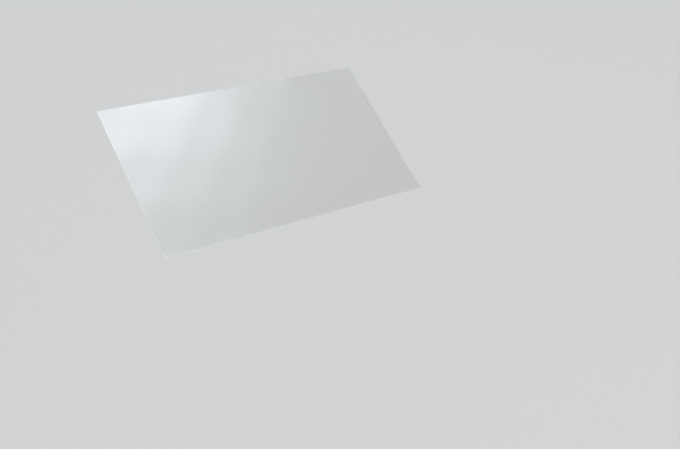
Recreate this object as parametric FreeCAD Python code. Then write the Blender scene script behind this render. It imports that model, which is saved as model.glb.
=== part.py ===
import FreeCAD, Part
import os

# Blue light filter: one flat sheet of clear plastic film, die-cut to a rectangle with small round corners.
# The front face is matte, to break up glare, and the back face is smooth.
# The sheet lies on its back face. The origin is the middle of that face, +X runs along the sheet's width,
# +Y along its height towards its top edge, and +Z out of the front face.

# Driving dimensions, in millimetres
sheet_width = 344.0  # width of the 15.6-inch 16:9 cut
sheet_height = 194.0  # height of the same cut
sheet_thickness = 0.4  # stiff film that stays flat when it is held out by its edges
corner_radius = 1.0  # each of the four corners, seen from the front
edge_roll = 0.1  # rounding that the cutting die leaves along the front face's outline


def sheet_blank():
    """Rectangle of film at its full size, centred on the origin, with its back face on z = 0."""
    lowest_corner = FreeCAD.Vector(-sheet_width / 2, -sheet_height / 2, 0)
    return Part.makeBox(sheet_width, sheet_height, sheet_thickness, lowest_corner)


def round_corners(sheet):
    """Rounds the four upright edges, so that no corner is left sharp."""
    upright_edges = [edge for edge in sheet.Edges if edge.BoundBox.ZLength > sheet_thickness / 2]
    return sheet.makeFillet(corner_radius, upright_edges)


def roll_front_edge(sheet):
    """Rounds the front face's whole outline, where the die enters. The back face's outline stays sharp."""
    front_outline = [edge for edge in sheet.Edges if edge.BoundBox.ZMin > sheet_thickness / 2]
    return sheet.makeFillet(edge_roll, front_outline)


def filter_sheet():
    return roll_front_edge(round_corners(sheet_blank()))


def main():
    os.makedirs("parts", exist_ok=True)
    sheet = filter_sheet()
    print(f"filter_sheet: {len(sheet.Solids)} solid, {sheet.Volume:.1f} mm3, valid {sheet.isValid()}")
    sheet.exportStep("parts/filter_sheet.step")


main()
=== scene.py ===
import math

import bpy
import numpy as np
from mathutils import Matrix, Vector


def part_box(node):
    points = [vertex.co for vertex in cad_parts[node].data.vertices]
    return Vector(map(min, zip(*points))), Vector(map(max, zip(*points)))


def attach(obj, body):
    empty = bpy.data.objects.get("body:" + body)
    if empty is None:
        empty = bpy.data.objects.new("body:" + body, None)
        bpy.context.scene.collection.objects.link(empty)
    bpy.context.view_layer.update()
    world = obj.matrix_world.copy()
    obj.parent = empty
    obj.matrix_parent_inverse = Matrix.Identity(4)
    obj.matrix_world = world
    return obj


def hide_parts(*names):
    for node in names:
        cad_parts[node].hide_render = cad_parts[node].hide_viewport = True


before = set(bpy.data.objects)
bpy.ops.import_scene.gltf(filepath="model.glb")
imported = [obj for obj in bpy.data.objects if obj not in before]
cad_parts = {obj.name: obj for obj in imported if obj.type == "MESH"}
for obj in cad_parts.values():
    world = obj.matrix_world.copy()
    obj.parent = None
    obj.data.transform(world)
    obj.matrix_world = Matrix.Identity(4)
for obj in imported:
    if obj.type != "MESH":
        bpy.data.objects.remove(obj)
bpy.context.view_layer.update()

mm = 0.001
sheetLow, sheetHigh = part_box("filter_sheet")
sheetWidth, sheetHeight, sheetThickness = sheetHigh - sheetLow
print(f"frame: film {sheetWidth / mm:.1f} x {sheetHeight / mm:.1f} x {sheetThickness / mm:.2f} mm")


# helpers for materials

def newMaterial(name):
    material = bpy.data.materials.new(name)
    material.use_nodes = True
    tree = material.node_tree
    tree.nodes.clear()
    output = tree.nodes.new("ShaderNodeOutputMaterial")
    shader = tree.nodes.new("ShaderNodeBsdfPrincipled")
    tree.links.new(shader.outputs["BSDF"], output.inputs["Surface"])
    return material, tree, shader


def addNode(tree, kind, **sockets):
    node = tree.nodes.new(kind)
    for name, value in sockets.items():
        plug = node.inputs[name]
        if isinstance(value, bpy.types.NodeSocket):
            tree.links.new(value, plug)
        else:
            plug.default_value = value
    return node


def noise(tree, size, detail):
    # noise over the piece's own coordinates; size is how large its features are along X, Y and Z
    place = addNode(tree, "ShaderNodeTexCoord").outputs["Object"]
    cells = addNode(tree, "ShaderNodeMapping", Vector=place, Scale=[1 / side for side in size])
    field = addNode(tree, "ShaderNodeTexNoise", Vector=cells.outputs["Vector"], Scale=1.0, Detail=detail)
    return field.outputs["Fac"]


def spread(tree, field, ends):
    # the middle of the noise, 0.3 to 0.7, drawn out between two values or two colours
    ramp = addNode(tree, "ShaderNodeValToRGB", Fac=field)
    for element, position, end in zip(ramp.color_ramp.elements, (0.3, 0.7), ends):
        element.position = position
        element.color = end if isinstance(end, tuple) else (end, end, end, 1.0)
    return ramp.outputs["Color"]


# the film

filmSpec = {
    # shape
    "cornerRadius": 1.0 * mm,  # die-cut corners, seen from the front
    "edgeRoll": 0.1 * mm,  # rounding that the die leaves on the front outline
    "backBreak": 0.02 * mm,  # the back outline is only just broken
    "edgeLoop": 0.1 * mm,  # the outermost cells are this narrow, so that the roll doesn't shade the face
    "cells": (172, 90),  # mesh cells along the width and along the straight part of the height
    "arcCells": 6,  # rows of the mesh in each corner's arc
    "rollCells": 4,  # steps round the rolled front edge
    # height, wavelength and direction in degrees of the faint waves that a film keeps when it is laid down
    "waves": ((0.12 * mm, 0.105, 18), (0.07 * mm, 0.071, 77), (0.05 * mm, 0.049, -41)),
    "restCurl": (0.42, 0.55, 0.30, 0.36),  # 1/m left in the film at its left, right, front and back edges
    "stiffness": 0.025,  # N m, bending stiffness of 0.4 mm polyester
    "weight": 5.4,  # N/m2, what the film weighs
    # finish
    "tints": ((0.905, 0.893, 0.886, 1.0), (0.919, 0.907, 0.903, 1.0)),  # lets a little less blue through
    "passed": (0.930, 0.932, 0.921, 1.0),  # what each face lets through to the surface that the film lies on
    "gleam": (0.80, 0.90, 1.0, 1.0),  # the coating's faint blue cast
    "index": 1.57,  # polyester
    "mottle": (0.085, 0.060, 0.060),  # size of the clouds in the coating
    "matte": (0.29, 0.35),  # roughness of the front
    "grain": (0.6 * mm, 0.6 * mm, 0.6 * mm),
    "grainDepth": 0.012 * mm,
    "smooth": (0.10, 0.14),  # roughness of the back
    "cut": (0.42, 0.58),  # roughness of the cut
    "cutTints": ((0.90, 0.92, 0.92, 1.0), (0.97, 0.98, 0.98, 1.0)),
    "cutClear": 0.35,  # how much of the light at the cut goes in
    "cutLines": (0.25 * mm, 0.25 * mm, 1.5 * mm),  # the die's fine upright lines
    "cutDepth": 0.01 * mm,
}


def curlLift(inset, curl):
    # A strip that wants to curl by 1/radius = curl and is pressed flat by its own weight leaves the table
    # at a distance reach from its edge, where curl * stiffness = weight * reach^2 / 2. Past that line, at s
    # from it, it rises as a cantilever: curl s^2/2 less the sag,
    # (weight / stiffness) (s^4/24 - reach s^3/6 + reach^2 s^2/4).
    reach = math.sqrt(2 * curl * filmSpec["stiffness"] / filmSpec["weight"])
    s = np.clip(reach - inset, 0, None)
    sag = s ** 4 / 24 - reach * s ** 3 / 6 + reach ** 2 * s ** 2 / 4
    return curl * s ** 2 / 2 - filmSpec["weight"] / filmSpec["stiffness"] * sag


def waveLift(x, y):
    # the sum of raised cosines, height (1 + cos(2 pi (x cos a + y sin a) / wavelength)), never below zero
    lift = np.zeros_like(x)
    for height, wavelength, direction in filmSpec["waves"]:
        a = math.radians(direction)
        lift += height * (1 + np.cos(2 * math.pi * (x * math.cos(a) + y * math.sin(a)) / wavelength))
    return lift


def restLift(x, y):
    # the curl from each of the four edges, by the distance from that edge, added to the waves
    left, right, front, back = filmSpec["restCurl"]
    return (curlLift(sheetWidth / 2 + x, left) + curlLift(sheetWidth / 2 - x, right)
            + curlLift(sheetHeight / 2 + y, front) + curlLift(sheetHeight / 2 - y, back) + waveLift(x, y))


def filmRows():
    # Each row of the mesh is given by the middle of its corner arc, yc, and its angle round that arc:
    # -90 to 0 degrees up the lower arc, 0 along the straight side, 0 to 90 up the upper arc.
    straight = sheetHeight / 2 - filmSpec["cornerRadius"]
    arc = np.radians(np.linspace(0, 90, filmSpec["arcCells"] + 1))
    side = np.linspace(-straight, straight, filmSpec["cells"][1] + 1)
    angle = np.concatenate([-arc[:0:-1], np.zeros(len(side)), arc[1:]])
    yc = np.concatenate([np.full(len(arc) - 1, -straight), side, np.full(len(arc) - 1, straight)])
    return yc, angle


def filmGrid(radius):
    # Surface over (u, row): y = yc + radius sin(angle), x = u (half width less corner + radius cos(angle)),
    # u from -1 to 1. A smaller radius gives the same rounded rectangle drawn in by that much all round.
    yc, angle = filmRows()
    inner = 1 - filmSpec["edgeLoop"] / (sheetWidth / 2)
    u = np.concatenate([[-1.0], np.linspace(-inner, inner, filmSpec["cells"][0] + 1), [1.0]])
    halfRow = sheetWidth / 2 - filmSpec["cornerRadius"] + radius * np.cos(angle)
    x = halfRow[:, None] * u[None, :]
    y = np.broadcast_to((yc + radius * np.sin(angle))[:, None], x.shape)
    return x, y


def outline(grid):
    # the border of a grid, once round, counter-clockwise from the lower left
    return np.concatenate([grid[0, :-1], grid[:-1, -1], grid[-1, :0:-1], grid[:0:-1, 0]])


def quadFaces(index):
    # one face for each cell of a grid of vertex numbers
    corners = [index[:-1, :-1], index[:-1, 1:], index[1:, 1:], index[1:, :-1]]
    return np.stack(corners, axis=-1).reshape(-1, 4)


def edgeProfile():
    # The rim's section from the front face down to the back: (radius, height). A quarter circle for the die
    # roll, a straight cut and a small break at the back.
    corner, roll, slack = (filmSpec[key] for key in ("cornerRadius", "edgeRoll", "backBreak"))
    turn = np.radians(np.linspace(0, 90, filmSpec["rollCells"] + 1))
    radius = np.concatenate([corner - roll + roll * np.sin(turn), [corner, corner - slack]])
    height = np.concatenate([sheetThickness - roll + roll * np.cos(turn), [slack, 0.0]])
    return radius, height


def makeFilm():
    # the front grid, the back grid and the rim's rings between them, with every point raised by restLift
    radius, height = edgeProfile()
    frontX, frontY = filmGrid(radius[0])
    backX, backY = filmGrid(radius[-1])
    rings = [filmGrid(r) for r in radius[1:-1]]
    rimX = np.stack([outline(x) for x, y in rings])
    rimY = np.stack([outline(y) for x, y in rings])
    rimZ = np.broadcast_to(height[1:-1, None], rimX.shape)

    x = np.concatenate([frontX.ravel(), backX.ravel(), rimX.ravel()])
    y = np.concatenate([frontY.ravel(), backY.ravel(), rimY.ravel()])
    z = np.concatenate([np.full(frontX.size, height[0]), np.full(backX.size, height[-1]), rimZ.ravel()])
    lift = restLift(x, y)
    points = np.stack([x, y, z + lift], axis=1)

    frontIndex = np.arange(frontX.size).reshape(frontX.shape)
    backIndex = frontIndex + frontX.size
    rimIndex = np.arange(rimX.size).reshape(rimX.shape) + 2 * frontX.size
    rim = np.concatenate([outline(frontIndex)[None], rimIndex, outline(backIndex)[None]])
    rim = np.concatenate([rim, rim[:, :1]], axis=1)
    groups = [quadFaces(frontIndex), quadFaces(backIndex)[:, ::-1], quadFaces(rim)[:, ::-1]]
    faces = np.concatenate(groups)

    mesh = bpy.data.meshes.new("filterFilm")
    mesh.from_pydata(points, [], faces)
    slots = np.repeat(np.arange(3, dtype=np.int32), [len(group) for group in groups])
    mesh.polygons.foreach_set("material_index", slots)
    mesh.polygons.foreach_set("use_smooth", np.ones(len(faces), dtype=bool))
    mesh.update()
    film = bpy.data.objects.new("filterFilm", mesh)
    bpy.context.scene.collection.objects.link(film)
    for material in (matteFace(), smoothFace(), cutEdge()):
        mesh.materials.append(material)
    print(f"film: {len(points)} points, {len(faces)} faces, edges lifted up to {lift.max() / mm:.2f} mm")
    return film


def letLightThrough(tree, shader):
    # The face that is seen first gives the film its gleam and its blur, and light goes straight through the
    # other one. Light on its way to or from the surface under the film goes straight through both, tinted.
    light = addNode(tree, "ShaderNodeLightPath")
    clear = addNode(tree, "ShaderNodeBsdfTransparent", Color=filmSpec["passed"])
    surface = shader.outputs["BSDF"]
    for kind in ("Is Transmission Ray", "Is Diffuse Ray", "Is Shadow Ray"):
        mix = addNode(tree, "ShaderNodeMixShader", Fac=light.outputs[kind])
        tree.links.new(surface, mix.inputs[1])
        tree.links.new(clear.outputs["BSDF"], mix.inputs[2])
        surface = mix.outputs["Shader"]
    tree.links.new(surface, tree.nodes["Material Output"].inputs["Surface"])


def filmMaterial(name, clouds, roughness, tints):
    material, tree, shader = newMaterial(name)
    field = noise(tree, clouds, detail=3.0)
    tree.links.new(spread(tree, field, tints), shader.inputs["Base Color"])
    tree.links.new(spread(tree, field, roughness), shader.inputs["Roughness"])
    shader.inputs["IOR"].default_value = filmSpec["index"]
    shader.inputs["Transmission Weight"].default_value = 1.0
    letLightThrough(tree, shader)
    return material, tree, shader


def addGrain(tree, shader, size, depth):
    grain = noise(tree, size, detail=2.0)
    bump = addNode(tree, "ShaderNodeBump", Height=grain, Strength=1.0, Distance=depth)
    tree.links.new(bump.outputs["Normal"], shader.inputs["Normal"])


def matteFace():
    clouds, roughness, tints = (filmSpec[key] for key in ("mottle", "matte", "tints"))
    material, tree, shader = filmMaterial("matteFace", clouds, roughness, tints)
    shader.inputs["Specular Tint"].default_value = filmSpec["gleam"]
    addGrain(tree, shader, filmSpec["grain"], filmSpec["grainDepth"])
    return material


def smoothFace():
    clouds, roughness, tints = (filmSpec[key] for key in ("mottle", "smooth", "tints"))
    material, tree, shader = filmMaterial("smoothFace", clouds, roughness, tints)
    shader.inputs["Specular Tint"].default_value = filmSpec["gleam"]
    return material


def cutEdge():
    lines, roughness, tints = (filmSpec[key] for key in ("cutLines", "cut", "cutTints"))
    material, tree, shader = filmMaterial("cutEdge", lines, roughness, tints)
    shader.inputs["Transmission Weight"].default_value = filmSpec["cutClear"]
    addGrain(tree, shader, lines, filmSpec["cutDepth"])
    return material


film = makeFilm()
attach(film, "root")
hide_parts("filter_sheet")


# floor, light and camera

floorSpec = {
    "reach": 8.0,  # metres from the film to the floor's edge
    "gap": 0.05 * mm,  # air under the film
    "color": (0.408, 0.401, 0.394, 1.0),
    "roughness": 0.9,
}


def makeFloor():
    # a flat square, z = -gap over (u, v)
    u = np.array([-1.0, 1.0]) * floorSpec["reach"]
    x, y = np.meshgrid(u, u)
    points = np.stack([x.ravel(), y.ravel(), np.full(x.size, -floorSpec["gap"])], axis=1)
    mesh = bpy.data.meshes.new("floor")
    mesh.from_pydata(points, [], quadFaces(np.arange(x.size).reshape(x.shape)))
    floor = bpy.data.objects.new("floor", mesh)
    bpy.context.scene.collection.objects.link(floor)
    material, tree, shader = newMaterial("paleFloor")
    shader.inputs["Base Color"].default_value = floorSpec["color"]
    shader.inputs["Roughness"].default_value = floorSpec["roughness"]
    mesh.materials.append(material)
    print("floor: pale and plain")


studio = {
    "horizon": (0.39, 0.399, 0.405, 1.0),
    "zenith": (0.90, 0.935, 0.97, 1.0),
    "skyStrength": 1.36,
    "skyTop": 0.5,  # sine of the angle above the horizon where the zenith's colour starts
    # softboxes that face the film: place and size in metres, power in watts, and whether they light the floor
    # or only gleam in the film; one of them gleams from most sides
    "boxes": {
        "keyBox": ((0.1, -1.1, 2.2), (2.4, 1.8), 24, True),
        "sheenBox": ((0.4, 1.3, 1.5), (1.0, 0.5), 25, False),
        "topBox": ((-0.42, 0.32, 1.8), (0.5, 0.4), 8, False),
        "farBox": ((0.45, 1.65, 0.75), (0.9, 0.5), 4, False),
        "farLeftBox": ((-1.34, 1.05, 0.8), (0.7, 0.5), 3.2, False),
        "leftBox": ((-1.5, 0.4, 1.4), (0.9, 0.9), 14, False),
        "nearLeftBox": ((-0.75, -1.25, 1.0), (0.9, 0.5), 6, False),
        "nearRightBox": ((1.15, -1.6, 0.62), (0.9, 0.5), 2.4, False),
        "rightBox": ((1.68, 0.2, 0.62), (1.2, 0.5), 4, False),
    },
}


def makeLights():
    # the sky goes from the horizon's colour to the zenith's with z, the sine of the angle above the horizon
    world = bpy.data.worlds.new("studio")
    world.use_nodes = True
    tree = world.node_tree
    direction = addNode(tree, "ShaderNodeTexCoord").outputs["Generated"]
    height = addNode(tree, "ShaderNodeSeparateXYZ", Vector=direction).outputs["Z"]
    sky = addNode(tree, "ShaderNodeValToRGB", Fac=height)
    low, high = sky.color_ramp.elements
    low.color = studio["horizon"]
    high.color = studio["zenith"]
    high.position = studio["skyTop"]
    background = tree.nodes["Background"]
    background.inputs["Strength"].default_value = studio["skyStrength"]
    tree.links.new(sky.outputs["Color"], background.inputs["Color"])
    bpy.context.scene.world = world
    for name, (place, size, power, lightsFloor) in studio["boxes"].items():
        light = bpy.data.lights.new(name, "AREA")
        light.shape = "RECTANGLE"
        light.size, light.size_y = size
        light.energy = power
        box = bpy.data.objects.new(name, light)
        box.location = place
        box.rotation_euler = (-Vector(place)).to_track_quat("-Z", "Y").to_euler()
        box.visible_camera = False
        box.visible_diffuse = lightsFloor
        bpy.context.scene.collection.objects.link(box)
    print(f"light: {len(studio['boxes'])} softboxes and a pale sky")


shot = {
    "picture": (680, 449),  # pixels wide and high
    "azimuth": -57.59,  # degrees, round from the front towards -X
    "elevation": 51.35,
    "roll": 34.85,
    "distance": 1.0624,  # metres to the plane through the film's middle
    "focal": 905.8,  # pixels
    "middle": (-72.9, 72.4),  # the film's middle, in pixels right of and above the picture's middle
    "sensor": 36.0,  # millimetres wide
}


def makeCamera():
    # back points from the film to the camera, and right and up are the picture's axes, turned by roll; the
    # camera then moves aside, so that the film's middle comes out at its place in the picture
    azimuth, elevation, roll = (math.radians(shot[key]) for key in ("azimuth", "elevation", "roll"))
    back = Vector((math.sin(azimuth) * math.cos(elevation),
                   -math.cos(azimuth) * math.cos(elevation), math.sin(elevation)))
    level = Vector((0, 0, 1)).cross(back).normalized()
    upright = back.cross(level)
    right = level * math.cos(roll) + upright * math.sin(roll)
    up = upright * math.cos(roll) - level * math.sin(roll)
    metresPerPixel = shot["distance"] / shot["focal"]
    aside, above = (pixels * metresPerPixel for pixels in shot["middle"])
    place = back * shot["distance"] - right * aside - up * above
    lens = bpy.data.cameras.new("camera")
    lens.sensor_width = shot["sensor"]
    lens.lens = shot["focal"] / shot["picture"][0] * shot["sensor"]
    camera = bpy.data.objects.new("camera", lens)
    camera.matrix_world = Matrix.Translation(place) @ Matrix((right, up, back)).transposed().to_4x4()
    bpy.context.scene.collection.objects.link(camera)
    bpy.context.scene.camera = camera
    print(f"camera: {lens.lens:.1f} mm lens, {place.length:.3f} m from the film")


makeFloor()
makeLights()
makeCamera()
bpy.context.scene.view_settings.view_transform = "Standard"
